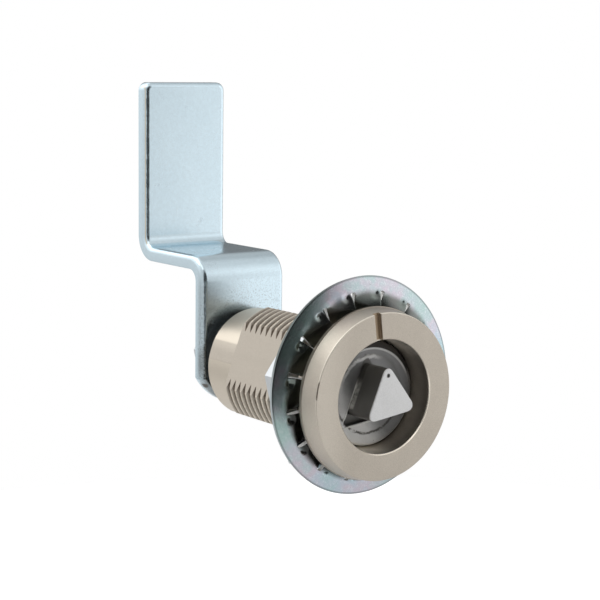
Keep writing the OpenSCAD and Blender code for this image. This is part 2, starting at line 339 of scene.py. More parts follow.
def tidy(made):
    """Closes poles and seams, drops stray edges and turns every face outwards."""
    bmesh.ops.remove_doubles(made, verts=made.verts, dist=0.0005)
    loose = [edge for edge in made.edges if not edge.link_faces]
    bmesh.ops.delete(made, geom=loose, context="EDGES")
    bmesh.ops.recalc_face_normals(made, faces=made.faces)


def soften(made, width, segments=3, least_angle=30.0, where=None, clamped=True):
    """Rounds the edges that are sharper than the least angle."""
    sharp = [
        edge for edge in made.edges
        if edge.is_manifold
        and edge.calc_face_angle() > math.radians(least_angle)
        and (where is None or where(edge))
    ]
    bmesh.ops.bevel(made, geom=sharp, offset=width, segments=segments, profile=0.5,
                    affect="EDGES", material=-1, clamp_overlap=clamped)


print("workshop ready")

# %% [markdown]
# Every metal here follows one recipe: a tint that clouds a little over the surface, coats of
# other colours where a mask says so, a roughness broken up by grain, and a relief of a few
# thousandths of a millimetre. All the patterns read the piece's own coordinates in
# millimetres, so sizes are real ones and stay on the piece when it turns.

# %% Recipe for a finish
class Finish(Paint):
    """A material, with its place on the lock in millimetres and its surface patterns."""

    def __init__(self, name):
        super().__init__(bpy.data.materials.new(name))
        spot = self.node("ShaderNodeTexCoord", output="Object")
        self.spot = self.node("ShaderNodeVectorMath", {"operation": "SCALE"}, {0: spot, "Scale": 1 / MM})
        axes = self.node("ShaderNodeSeparateXYZ", None, {"Vector": self.spot}).socket.node.outputs
        self.right, self.depth, self.up = (Wire(self, axis) for axis in axes)
        self.reach = self.from_axis()

    def mottle(self, size, detail=3.0, harshness=0.55, stretch=None):
        """Cloudy noise from 0 to 1, whose patches are about size millimetres across."""
        spot = self.spot
        if stretch:
            spot = self.node("ShaderNodeVectorMath", {"operation": "MULTIPLY"}, {0: spot, 1: stretch})
        sockets = {"Vector": spot, "Scale": 1 / size, "Detail": detail, "Roughness": harshness}
        return self.node("ShaderNodeTexNoise", None, sockets)

    def along(self, direction):
        """How far a point lies along a direction, in millimetres."""
        return self.dot(self.spot, direction)

    def from_axis(self, right=0.0, up=0.0):
        """Distance from the lock's axis, or from a line beside it, in millimetres."""
        x = self.right - right
        z = self.up - up
        return (x * x + z * z) ** 0.5

    def coats(self, tint, colours):
        """Lays colours over a tint in turn, each as thick as its mask says."""
        for mask, colour in colours:
            tint = self.mix(mask, tint, colour)
        return tint

    def surface(self, tint, roughness, height, depth, metallic=1.0):
        """Feeds the shader. The relief's height, from 0 to 1, stands for depth millimetres."""
        relief = self.node("ShaderNodeBump", None, {"Distance": depth * MM, "Height": height})
        self.feed("Principled BSDF", Base_Color=tint, Roughness=roughness, Metallic=metallic, Normal=relief)
        return self.owner


print("recipe ready")

# %% [markdown]
# A finished mesh takes the place of a measured node, on the same body and in the same finish.
# Its normals are weighted by the size of the faces, which keeps large faces flat beside narrow
# rounded edges. Where a piece was sheared, its sideways faces can wear a second finish.

# %% Put a piece in place
FINISHES = {}
SIDEWAYS = 0.4


def slot_of(node):
    return next(part["material_slot"] for part in frame["record"]["subparts"] if part["node"] == node)


def body_of(node):
    bodies = frame["record"]["behaviour"]["bodies"]
    return next(body for body, nodes in bodies.items() if node in nodes)


def add_piece(name, made, node, smooth_below=40.0, edge_finish=None):
    tidy(made)
    bmesh.ops.scale(made, vec=(MM, MM, MM), verts=made.verts)
    for face in made.faces:
        face.smooth = True
        face.material_index = int(edge_finish is not None and abs(face.normal.y) < SIDEWAYS)
    for edge in made.edges:
        edge.smooth = edge.calc_face_angle(0) < math.radians(smooth_below)
    piece = show(name, hand_over(made, name))
    even = piece.modifiers.new("even shading", "WEIGHTED_NORMAL")
    even.keep_sharp = True
    slot = slot_of(node)
    body = body_of(node)
    piece.data.materials.append(FINISHES[slot])
    if edge_finish:
        piece.data.materials.append(edge_finish)
    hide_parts(node)
    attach(piece, body)
    triangles = sum(len(face.vertices) - 2 for face in piece.data.polygons)
    print(name, "stands for", node, "on", body, "with", triangles, "triangles")


print("ready to place pieces")

# %% [markdown]
# The washer is sheet steel 0.8 millimetres thick. Sixteen slots make its teeth, and each tooth
# is curled: the side that leads clockwise stands up towards the head and bites, the other
# dips. The ring is a little dished, with a small dimple beside each slot's outer end. All of
# this is one smooth bend, so a tooth is a grid whose points are moved into place.

# %% The bend of one tooth
WASHER_CENTRE = Vector((0.2, 0, 0.87))
WASHER_RIM = 17.75
WASHER_BORE = 12.0
WASHER_WIDTH = WASHER_RIM - WASHER_BORE
WASHER_FACE = 2.3
WASHER_STEEL = 0.8
WASHER_DISH = 0.85
TOOTH_COUNT = 16
TOOTH_SHARE = 180.0 / TOOTH_COUNT
TOOTH_ROOT = 16.1
TOOTH_CURL = 0.8
TOOTH_ONSET = 1.25
TOOTH_EVENNESS = 0.75
SLOT_END = 15.5
SLOT_OUTER = 0.85
SLOT_INNER = 0.3
TEAR_LENGTH = 0.9
RING_WAVE = 0.3
DIMPLE_RADIUS = 14.9
DIMPLE_BACK = 0.95
DIMPLE_SIZE = 0.5
DIMPLE_DEPTH = 0.24


def tooth_sides(radius):
    """The sides of a tooth, in degrees from its middle. The slot beside it narrows inwards."""
    left, right = -TOOTH_SHARE, TOOTH_SHARE
    if radius < SLOT_END:
        narrowing = (SLOT_END - radius) / (SLOT_END - WASHER_BORE)
        slot = SLOT_OUTER + (SLOT_INNER - SLOT_OUTER) * narrowing
        left += math.degrees((slot - SLOT_OUTER / 2) / radius)
        right -= math.degrees(SLOT_OUTER / 2 / radius)
    return left, right


def tooth_lift(across, radius):
    """How far the curl lifts a point. Past the slot it dies out in a slight wave."""
    formed = max(0.0, (TOOTH_ROOT - radius) / (TOOTH_ROOT - WASHER_BORE)) ** TOOTH_ONSET
    free = min(1.0, max(0.0, (SLOT_END - radius) / TEAR_LENGTH))
    free = free * free * (3 - 2 * free)
    curl = TOOTH_EVENNESS * across + (1 - TOOTH_EVENNESS) * across ** 3
    wave = RING_WAVE * math.sin(math.pi * across)
    return formed * TOOTH_CURL * (free * curl + (1 - free) * wave)


def ring_dish(radius):
    outward = (radius - WASHER_BORE) / WASHER_WIDTH
    return WASHER_DISH * (1 - outward ** 2)


def dimple_sink(place):
    beside = math.radians(TOOTH_SHARE) - (SLOT_OUTER / 2 + DIMPLE_BACK) / DIMPLE_RADIUS
    dimple = way_out(-beside) * DIMPLE_RADIUS
    return DIMPLE_DEPTH * math.exp(-((place - dimple).length / DIMPLE_SIZE) ** 2)


def tooth_place(across, radius):
    """Where a grid point goes: across runs from -1 to 1 over one tooth, clockwise."""
    left, right = tooth_sides(radius)
    angle = math.radians(left + (right - left) * (across + 1) / 2)
    place = way_out(-angle) * radius
    rise = tooth_lift(across, radius) + ring_dish(radius) - dimple_sink(place)
    return place + AXIS * (WASHER_FACE - rise)


print("a tooth's leading tip is", round(WASHER_FACE - tooth_place(1, WASHER_BORE).y, 2), "mm up")

# %% [markdown]
# One bent tooth is copied round the axis. Then the ring is merged, moved to where it hangs
# loose on the body, and given the thickness of the sheet.

# %% Toothed washer
TOOTH_COLUMNS = 32
TOOTH_ROWS = 46
TOOTH_PHASE = math.radians(1.35)


def toothed_washer():
    made = bmesh.new()
    bmesh.ops.create_grid(made, x_segments=TOOTH_COLUMNS, y_segments=TOOTH_ROWS, size=1.0)
    for vert in made.verts:
        radius = WASHER_RIM - WASHER_WIDTH * (1 - vert.co.y) / 2
        if abs(radius - SLOT_END) < WASHER_WIDTH / TOOTH_ROWS / 2:
            radius = SLOT_END
        vert.co = tooth_place(vert.co.x, radius)
    tooth = everything(made)
    for index in range(1, TOOTH_COUNT):
        copy = bmesh.ops.duplicate(made, geom=tooth)["geom"]
        rotate(made, math.radians(2 * TOOTH_SHARE * index), AXIS, only(BMVert, copy))
    rotate(made, TOOTH_PHASE)
    shift(made, WASHER_CENTRE)
    bmesh.ops.remove_doubles(made, verts=made.verts, dist=0.002)
    bmesh.ops.recalc_face_normals(made, faces=made.faces)
    bmesh.ops.solidify(made, geom=made.faces[:], thickness=WASHER_STEEL)
    soften(made, 0.13, 2, 55.0)
    return made


washer = toothed_washer()
print("toothed washer:", TOOTH_COUNT, "teeth,", len(washer.faces), "faces")

# %% [markdown]
# The washer is zinc-plated under a clear film that is thin enough to show colours, as oil does
# on water. A film that changes slowly in thickness picks its colour from a ramp. The teeth get
# painted shade, as they lie in the head's shade, and most of it at the lower left. The sheared
# sides of the teeth are painted pale, a painted highlight for the bright lines along the slots,
# so they wear a finish of their own, which darkens on the rim.

# %% Iridescent zinc and sheared edges
def iridescent_zinc():
    paint = Finish("iridescent zinc passivate")
    from_middle = paint.from_axis(WASHER_CENTRE.x, WASHER_CENTRE.z)
    film = paint.mottle(9.0, 3.0, 0.6) + paint.mottle(1.4, 3.0, 0.6) * 0.16 - 0.08
    left = ease(paint.along((-1, 0, 0.3)), 8.0, 16.0)
    below = ease(paint.along((0.3, 0, -1)), 9.0, 16.0)
    film = film - left * 0.14 - below * 0.07
    tint = paint.ramp(film, [
        (0.30, (0.43, 0.58, 0.56)),
        (0.41, (0.50, 0.58, 0.61)),
        (0.49, (0.60, 0.55, 0.62)),
        (0.57, (0.52, 0.58, 0.66)),
        (0.66, (0.45, 0.59, 0.63)),
    ])
    speckle = ease(paint.mottle(0.32, 3.0, 0.7), 0.50, 0.68)
    crazed = ease(paint.mottle(1.1, 6.0, 0.75), 0.60, 0.68)
    # The teeth are darkened as painted shade, deepest at the lower left.
    in_teeth = ease(from_middle + film, TOOTH_ROOT + 0.2, SLOT_END - 0.5)
    brim = ease(from_middle, WASHER_RIM - 0.37, WASHER_RIM - 0.19)
    teeth_shade_lower_left = in_teeth * ease(paint.along((-0.6, 0, -0.8)), 6.0, 11.0)
    tint = paint.coats(tint, [
        (speckle * 0.34, (0.86, 0.90, 0.92)),
        (crazed * 0.42, (0.30, 0.31, 0.30)),
        (in_teeth * 0.86, (0.14, 0.15, 0.13)),
        (brim * 0.55, (0.12, 0.14, 0.13)),
        (teeth_shade_lower_left * 0.9, (0.03, 0.03, 0.028)),
    ])
    grain = paint.mottle(0.15, 4.0, 0.6)
    return paint.surface(tint, grain * 0.12 + 0.16, grain, 0.004)


def sheared_edge():
    paint = Finish("sheared edge")
    grain = paint.mottle(0.25, 4.0, 0.6)
    from_middle = paint.from_axis(WASHER_CENTRE.x, WASHER_CENTRE.z)
    on_rim = ease(from_middle, WASHER_RIM - 0.55, WASHER_RIM - 0.25)
    on_top = on_rim * ease(paint.along((-0.3, 0, 1)), 7.0, 12.0)
    # The pale tint is a painted highlight for the bright lines along the slots.
    tint = paint.mix(grain, (0.72, 0.72, 0.70), (0.92, 0.92, 0.90))
    tint = paint.coats(tint, [
        (on_rim, (0.50, 0.55, 0.57)),
        (on_top * 0.8, (0.10, 0.12, 0.11)),
    ])
    return paint.surface(tint, grain * 0.2 + 0.4, grain, 0.01, on_rim * 0.7 + 0.3)


FINISHES["iridescent_zinc"] = iridescent_zinc()
add_piece("toothed_washer_dressed", washer, "toothed_washer", 40.0, sheared_edge())

# %% [markdown]
# Most pieces of a lock are turned, so one helper is the lathe, which spins an outline about
# the axis. Another cuts a solid with a tool. The cut is a Boolean modifier whose result is
# read back, as bmesh has no operator for it.

# %% Lathe and cutter
def turn(outline, steps=128):
    """Spins a closed outline of (radius, y) points into a solid about the lock's axis."""
    made = bmesh.new()
    corners = [made.verts.new((radius, y, 0)) for radius, y in outline]
    edges = [made.edges.new(pair) for pair in zip(corners, corners[1:] + corners[:1])]
    bmesh.ops.spin(made, geom=corners + edges, cent=CENTRE, axis=AXIS, angle=4 * QUARTER_TURN,
                   steps=steps, use_merge=True)
    tidy(made)
    return made


def box(width, depth, height, centre):
    made = bmesh.new()
    bmesh.ops.create_cube(made, size=1.0)
    bmesh.ops.scale(made, vec=(width, depth, height), verts=made.verts)
    shift(made, centre)
    return made


def join(first, second):
    """Adds the second mesh to the first, as a separate shell."""
    spare = hand_over(second, "spare")
    first.from_mesh(spare)
    bpy.data.meshes.remove(spare)
    return first


def carve(made, tool, operation="DIFFERENCE"):
    """Cuts a solid with a tool, or keeps what they share."""
    blank = show("blank", hand_over(made, "blank"))
    cutter = show("cutter", hand_over(tool, "cutter"))
    cut = blank.modifiers.new("cut", "BOOLEAN")
    cut.operation = operation
    cut.solver = "EXACT"
    cut.object = cutter
    shape = blank.evaluated_get(bpy.context.evaluated_depsgraph_get()).to_mesh()
    carved = bmesh.new()
    carved.from_mesh(shape)
    for body in (blank, cutter):
        bpy.data.meshes.remove(body.data)
    tidy(carved)
    return carved


print("lathe and cutter ready")

# %% [markdown]
# The head and the body are one casting, built here as two closed shells that overlap by a
# hair. The head is turned: the recess's wall, a crisp facet at its rim, the front face, and a
# small step at the rear. Then a block cuts the index groove. The facet and the step catch the
# light as flat faces, so they are left out of the rounding.

# %% Head
HEAD_RADIUS = 14.0
HEAD_FRONT = -3.75
EDGE_RADIUS = 13.36
RECESS_RADIUS = 9.28
RECESS_FOOT = 8.92
FACET = 0.12
STEP_FRONT = -0.52
STEP_HEIGHT = 0.11
HEAD_OUTLINE = [
    (RECESS_FOOT, 0.0), (RECESS_RADIUS - 0.15, HEAD_FRONT + 0.27),
    (RECESS_RADIUS - FACET, HEAD_FRONT + FACET), (RECESS_RADIUS, HEAD_FRONT),
    (EDGE_RADIUS, HEAD_FRONT), (EDGE_RADIUS + FACET, HEAD_FRONT + FACET),
    (HEAD_RADIUS - STEP_HEIGHT, STEP_FRONT - 0.08), (HEAD_RADIUS - STEP_HEIGHT, STEP_FRONT),
    (HEAD_RADIUS, STEP_FRONT + 0.06), (HEAD_RADIUS, 0.0),
]
INDEX_TURN = math.radians(7.5)
INDEX_WIDTH = 1.25
INDEX_FLOOR = -3.15
INDEX_START = 8.15


def index_cutter():
    """A block that reaches from inside the recess past the rim, and 0.6 mm into the head."""
    high, long = 1.6, 8.0
    made = box(INDEX_WIDTH, high, long, (0, INDEX_FLOOR - high / 2, INDEX_START + long / 2))
    rotate(made, -INDEX_TURN)
    return made


def worth_rounding(edge):
    """All but the facet on the recess's rim and the step at the head's rear."""
    radius = max(vert.co.xz.length for vert in edge.verts)
    depth = max(vert.co.y for vert in edge.verts)
    return radius > RECESS_RADIUS + FACET and abs(depth - STEP_FRONT) >= 0.2


def lock_head():
    made = carve(turn(HEAD_OUTLINE, 192), index_cutter())
    soften(made, 0.10, 3, 35.0, worth_rounding)
    return made


head = lock_head()
print("head:", 2 * HEAD_RADIUS, "mm across,", len(head.faces), "faces")

# %% [markdown]
# The body carries an M22 thread. It is turned with its grooves, and planes then cut four flats
# across the thread. Its turns are separate rings: a helix would lean by only one degree.

# %% Threaded body
CREST = 11.0
ROOT = 10.2
PITCH = 1.5
GROOVE_COUNT = 16
LAST_GROOVE = 24.7
HALF_GROOVE = [(CREST, 0.55), (CREST - 0.03, 0.50), (ROOT + 0.07, 0.11)]
THREAD_END = 25.8
PLAIN = 9.48
BODY_END = 33.0
BORE = 5.55
POCKET = [
    (8.3, BODY_END), (8.3, 27.5), (BORE, 27.5),
    (BORE, 2.95), (8.7, 2.95), (RECESS_FOOT, -0.02),
]
BODY_FLAT = 9.35
FLAT_TURN = math.radians(19.8)
FLAT_WAYS = [way_out(-FLAT_TURN - quarter * QUARTER_TURN) for quarter in (1, 2, 3, 4)]


def thread_groove(middle):
    """The outline of one groove, from crest to root and up again."""
    front = [(radius, middle - y) for radius, y in HALF_GROOVE]
    back = [(radius, middle + y) for radius, y in reversed(HALF_GROOVE)]
    return front + [(ROOT, middle)] + back


def cut_flat(made, way):
    cut = bmesh.ops.bisect_plane(made, geom=everything(made), plane_co=way * BODY_FLAT, plane_no=way,
                                 clear_outer=True)["geom_cut"]
    bmesh.ops.holes_fill(made, edges=only(BMEdge, cut))


def threaded_body():
    outline = [(CREST, -0.02)]
    for index in reversed(range(GROOVE_COUNT)):
        outline += thread_groove(LAST_GROOVE - PITCH * index)
    outline += [
        (CREST, THREAD_END - 0.5), (CREST - 0.5, THREAD_END), (PLAIN, THREAD_END),
        (PLAIN, BODY_END - 0.25), (PLAIN - 0.25, BODY_END),
    ]
    made = turn(outline + POCKET, 160)
    for way in FLAT_WAYS:
        cut_flat(made, way)
    return made


body = threaded_body()
print("body:", GROOVE_COUNT, "grooves,", len(body.faces), "faces")

# %% [markdown]
# Satin nickel is a warm grey with a fine grain. What makes it a used casting is where it
# changes, and each such place gets a mask: a function that is 1 there and 0 elsewhere. On the
# head the recess's wall gets painted shade, with painted light at its top and lower left, the
# index groove shows brown metal, painted highlights run along the facet on the recess's rim and
# the head's outer edge, the head's left face and side are made lighter, the step at its rear is
# darker, and the rim has a knock on its left.

# %% Masks on the nickel head
def recess_wall(paint):
    inside = ease(paint.reach, RECESS_RADIUS + 0.12, RECESS_RADIUS - 0.18)
    return inside * ease(paint.depth, HEAD_FRONT + 0.03, HEAD_FRONT + 0.45)


def index_groove(paint):
    half = INDEX_WIDTH / 2
    aside = abs(paint.along(way_out(INDEX_TURN - QUARTER_TURN)))
    outwards = ease(paint.along(way_out(INDEX_TURN)), 8.6, 9.3)
    below_face = ease(paint.depth, HEAD_FRONT + 0.03, HEAD_FRONT + 0.13)
    to_floor = ease(paint.depth, INDEX_FLOOR + 0.10, INDEX_FLOOR + 0.03)
    return ease(aside, half + 0.035, half - 0.045) * outwards * below_face * to_floor


def facet_highlight(paint):
    """A painted highlight on the facet on the recess's rim, at its lower right."""
    ring = near(paint.reach, RECESS_RADIUS - FACET / 2, 0.08, 0.14)
    ring = ring * ease(paint.depth, HEAD_FRONT + 0.33, HEAD_FRONT + 0.25)
    return ring * ease(paint.right - paint.up, 3.0, 9.0)


def edge_highlight(paint):
    """A painted highlight on the outer edge of the head's front, at its upper left."""
    ring = near(paint.reach, EDGE_RADIUS + 0.07, 0.06, 0.12)
    ring = ring * ease(paint.depth, HEAD_FRONT + 0.23, HEAD_FRONT + 0.15)
    return ring * ease(paint.up * 0.9 - paint.right * 0.5, 4.0, 11.0)


def darker_step(paint):
    """The step at the head's rear, made darker."""
    ring = ease(paint.reach, HEAD_RADIUS - 0.3, HEAD_RADIUS - 0.2)
    return ring * ease(paint.depth, STEP_FRONT - 0.03, STEP_FRONT + 0.04) * ease(paint.depth, 0.1, 0.0)


def painted_light_on_head(paint):
    """Painted light on the recess's top and lower left; the head's left face and side made lighter."""
    wall = recess_wall(paint)
    painted_light = wall * ease(paint.up, 5.0, 8.0) * 0.9
    painted_light = larger(painted_light, wall * ease(paint.up, -5.5, -7.5) * ease(paint.right, 3.5, 0.0) * 0.95)
    face = ease(paint.right, -6.0, -12.0) * ease(paint.depth, HEAD_FRONT + 0.15, HEAD_FRONT + 0.05)
    side = ease(paint.right, -8.0, -13.0) * ease(paint.up, 5.0, -2.0) * ease(paint.depth, 0.0, -0.4)
    return larger(larger(painted_light, face * 0.24), side * 0.14)


def rim_knock(paint, grain):
    """A dark knock with a ragged outline, on the left of the front edge."""
    ring = ease(paint.depth, HEAD_FRONT + 0.20, HEAD_FRONT + 0.13)
    ring = ring * ease(paint.reach, EDGE_RADIUS - 0.08, EDGE_RADIUS - 0.02)
    return ring * ease(paint.right, -2.0, -4.0) * ease(abs(paint.up - 2.4) + grain * 1.5, 2.3, 1.8)


print("head masks written")

# %% [markdown]
# On the body painted shade fills the thread's grooves, its crests are worn bright and carry
# painted highlights, and the flats are plain. The mask for the flats finds points by their
# distance from the four planes, which is simpler than a material for those faces.

# %% Masks on the nickel body
def off_flats(paint):
    beside = larger(abs(paint.along(FLAT_WAYS[0])), abs(paint.along(FLAT_WAYS[1])))
    return ease(abs(beside - BODY_FLAT), 0.005, 0.06)


def on_body(paint):
    return ease(paint.depth, 0.4, 0.9)


def on_thread(paint):
    return on_body(paint) * ease(paint.depth, THREAD_END + 0.1, THREAD_END - 0.2)


# Where the thread's grooves get painted shade.
def thread_groove_shade(paint):
    deep = ease(paint.reach, CREST - 0.02, CREST - 0.45)
    return deep * on_thread(paint) * off_flats(paint)


def thread_crests(paint):
    return ease(paint.reach, CREST - 0.08, CREST - 0.01) * on_thread(paint)


def turned_end(paint):
    """The plain round end behind the thread."""
    outside = ease(paint.reach, PLAIN - 0.18, PLAIN - 0.08)
    return outside * ease(paint.depth, THREAD_END + 0.02, THREAD_END + 0.05) * off_flats(paint)


print("body masks written")

# %% [markdown]
# With the masks at hand the finish is a short list: a base tint, then one coat after another.
# The order counts where two places meet, so the knock comes last.

# %% Satin nickel
def satin_nickel():
    paint = Finish("satin nickel on cast zinc")
    grain = paint.mottle(0.14, 4.0, 0.65)
    cloud = paint.mottle(5.0)
    specks = ease(paint.mottle(0.35, 2.0), 0.68, 0.76)
    burrs = ease(paint.mottle(0.42, 4.0, 0.75), 0.38, 0.62)
    wall = recess_wall(paint)
    deep = wall * ease(paint.depth, -3.2, -1.0)
    # Painted shade on the recess's wall, less deep down and most at its sides.
    recess_shade = wall * ease(abs(paint.up), 7.5, 4.0, 0.25, 0.5) - deep * 0.15
    facet = facet_highlight(paint)
    grooves = thread_groove_shade(paint)
    crests = thread_crests(paint)
    # Painted highlight on the top of the plain end behind the thread.
    end_top_highlight = ease(paint.depth, THREAD_END, THREAD_END + 0.2) * ease(paint.up, 2.5, 5.5)
    blend = cloud * 0.35 + ease(grain, 0.3, 0.7) * 0.65
    tint = paint.mix(blend, (0.435, 0.392, 0.334), (0.605, 0.550, 0.477))
    tint = paint.coats(tint, [
        (specks * 0.32, (0.28, 0.23, 0.18)),
        (index_groove(paint) * 0.8, (0.34, 0.25, 0.16)),
        (recess_shade, (0.17, 0.15, 0.13)),
        # Painted shade in the thread's grooves.
        (grooves * (cloud * 0.3 + burrs * 0.35 + 0.5), (0.13, 0.095, 0.065)),
        # The crests are worn bright and also carry painted highlights; the plain end is lighter too.
        (larger(crests * (burrs * 0.9 + 0.1), turned_end(paint) * 0.6), (0.80, 0.72, 0.60)),
        (on_body(paint) * 0.14, (0.30, 0.265, 0.225)),
        (end_top_highlight * 0.45, (0.80, 0.73, 0.62)),
        # Painted highlight on the facet at the recess's rim.
        (facet * 0.9, (1.0, 0.93, 0.80)),
        # Painted highlight on the head's outer edge.
        (edge_highlight(paint) * 0.65, (1.0, 0.94, 0.82)),
        # The step at the head's rear is darker.
        (darker_step(paint) * 0.5, (0.16, 0.13, 0.10)),
        # Painted light on the recess's top and lower left, and the head's left made lighter.
        (painted_light_on_head(paint), (0.86, 0.80, 0.70)),
        (rim_knock(paint, grain) * 0.8, (0.07, 0.05, 0.035)),
    ])
    roughness = grain * 0.16 + 0.32 + deep * 0.25 - facet * 0.18
    chipped = larger(grooves, crests * off_flats(paint)) * burrs
    return paint.surface(tint, roughness, grain + chipped * 3.0, 0.013)


FINISHES["satin_nickel"] = satin_nickel()
add_piece("housing_dressed", join(head, body), "housing", 28.0)

# %% [markdown]
# The core is a bare casting too. Its dished disc and its shank, with grooves for the seal and
# the clip, are turned. The post is a triangle with rounded corners, drawn out towards the key.
# Its foot stands in a shallow dark pocket, so the same triangle, a little larger and lower, is
# cut into the disc. The square end carries the cam.

# %% Core
DISC_RADIUS = 8.55
DISC_BACK = 2.4
DISC_FACE = [
    (0, 0.22), (5.9, 0.22), (6.35, 0.42), (6.8, 0.34), (7.7, 0.12), (8.3, 0.12),
    (DISC_RADIUS, 0.35), (DISC_RADIUS, 1.6), (8.4, DISC_BACK),
]
SHANK = 5.5
SHANK_END = 31
POST_INNER = 2.95
POST_CORNER = 1.15
POST_FRONT = -5.15
POST_BACK = 1.3
DIMPLE_UP = 3.75
FOOT_GAP = 0.35
FOOT_CORNER = 0.8
FOOT_DROP = 1.1
SQUARE = 8.0
SQUARE_START = 30.9
SQUARE_END = 38.0


def round_corners(made, corners, offset, segments):
    bmesh.ops.bevel(made, geom=corners, offset=offset, segments=segments, profile=0.5,
                    affect="VERTICES", material=-1)


def triangle(inner, corner, front, back, drop=0.0):
    """A triangular bar with rounded corners, its apex turned with the index groove."""
    made = bmesh.new()
    bmesh.ops.create_circle(made, cap_ends=True, segments=3, radius=2 * inner)
    round_corners(made, made.verts, corner * math.sqrt(3), 12)
    rotate(made, QUARTER_TURN, "X")
    rotate(made, -INDEX_TURN)
    shift(made, (0, front, -drop))
    drawn = bmesh.ops.extrude_face_region(made, geom=made.faces[:])["geom"]
    shift(made, (0, back - front, 0), only(BMVert, drawn))
    tidy(made)
    return made


def shank_groove(radius, front, back):
    return [(SHANK, front), (radius, front), (radius, back), (SHANK, back)]


def core_disc():
    seal_groove = shank_groove(4.45, 6, 8)
    clip_groove = shank_groove(5.2, 29.63, 30.67)
    shank = [(SHANK, DISC_BACK)] + seal_groove + clip_groove + [(SHANK, SHANK_END), (3.9, SHANK_END)]
    return turn(DISC_FACE + shank + [(0, SHANK_END)])


def post_dimple():
    """A small cone that cuts the index dimple into the post's end."""
    made = bmesh.new()
    bmesh.ops.create_cone(made, cap_ends=True, segments=32, radius1=0.40, radius2=0.28, depth=0.6)
    rotate(made, -QUARTER_TURN, "X")
    shift(made, (0, POST_FRONT, DIMPLE_UP))
    rotate(made, -INDEX_TURN)
    return made


def on_disc_edge(edge):
    return max(vert.co.y for vert in edge.verts) < DISC_BACK + 0.1


def drive_core():
    pocket = triangle(POST_INNER + FOOT_GAP, FOOT_CORNER, -1, POST_BACK, FOOT_DROP)
    disc = carve(core_disc(), pocket)
    soften(disc, 0.09, 2, 35.0, on_disc_edge)
    post = triangle(POST_INNER, POST_CORNER, POST_FRONT, POST_BACK)
    soften(post, 0.13, 3, 60.0)
    post = carve(post, post_dimple())
    square = box(SQUARE, SQUARE_END - SQUARE_START, SQUARE, (0, (SQUARE_START + SQUARE_END) / 2, 0))
    soften(square, 0.35, 3, 60.0)
    return join(join(disc, post), square)


core = drive_core()
print("core:", len(core.faces), "faces, post", round(HEAD_FRONT - POST_FRONT, 2), "mm proud of the head")

# %% [markdown]
# Bare zinc is bright where it was ground, as on the post's end. The disc has painted shade at
# the upper right and painted light at the left and bottom, and carries a ring scar from turning
# keys. Painted shade darkens the post's sides and its pocket, a painted shadow lies in a crescent
# above the disc, and painted highlights run on its rim and on a ridge round the post. The marks
# round the post go by the distance from a triangle, so that they follow it.

# %% Masks on the core
POST_SIDES = [way_out(INDEX_TURN + math.radians(degrees)) for degrees in (60, 180, 300)]
LOW_CENTRE = (0.15, -0.9)


def from_triangle(paint, inner, drop):
    """Distance outwards from the sides of a triangle like the key post's, in millimetres."""
    sides = [paint.along(side) + drop * side.z for side in POST_SIDES]
    return larger(larger(sides[0], sides[1]), sides[2]) - inner


def post_side_shade(paint, ripple):
    """Painted shade on the post's sides, up to its ground end."""
    beside = ease(from_triangle(paint, POST_INNER, 0.0) + ripple * 0.5, 0.70, 0.35)
    return beside * ease(paint.depth, POST_FRONT + 0.10, POST_FRONT + 0.25)


# The pocket round the post's foot, which gets painted shade.
def foot_pocket(paint, from_pocket):
    inside = ease(paint.depth, 0.25, 0.4) * ease(paint.depth, POST_BACK + 0.2, POST_BACK + 0.1)
    return inside * ease(from_pocket, 0.12, 0.04)


# Painted light on the disc's left and bottom, outside the pocket.
def painted_light_on_disc(paint, from_pocket):
    painted_light = larger(ease(paint.right, -3.5, -6.5), ease(paint.up, -3.0, -5.0))
    return painted_light * ease(from_pocket, 0.0, 0.15)


def rim_highlight(paint):
    """A painted highlight on the disc's rim. Above the post it shows lower down, under the painted shadow.
    """
    low = near(paint.reach, DISC_RADIUS - 0.13, 0.10, 0.20) * ease(paint.up, 4.0, 1.0)
    high = near(paint.from_axis(*LOW_CENTRE), DISC_RADIUS - 0.5, 0.08, 0.22) * ease(paint.up, 1.0, 4.0)
    return larger(low, high) * ease(paint.depth, 0.7, 0.5)


def crescent_shadow(paint, ripple):
    """A painted shadow in the corner between the disc's top and the recess's wall."""
    outside = paint.from_axis(*LOW_CENTRE) + ripple * 0.1
    return ease(outside, DISC_RADIUS - 0.33, DISC_RADIUS - 0.19) * ease(paint.up, 1.0, 4.0)


print("core masks written")

# %% [markdown]
# The coats go on as on the nickel. Burrs scatter light, so they and the painted light on the
# disc count as a little less metallic and stay pale from every side.

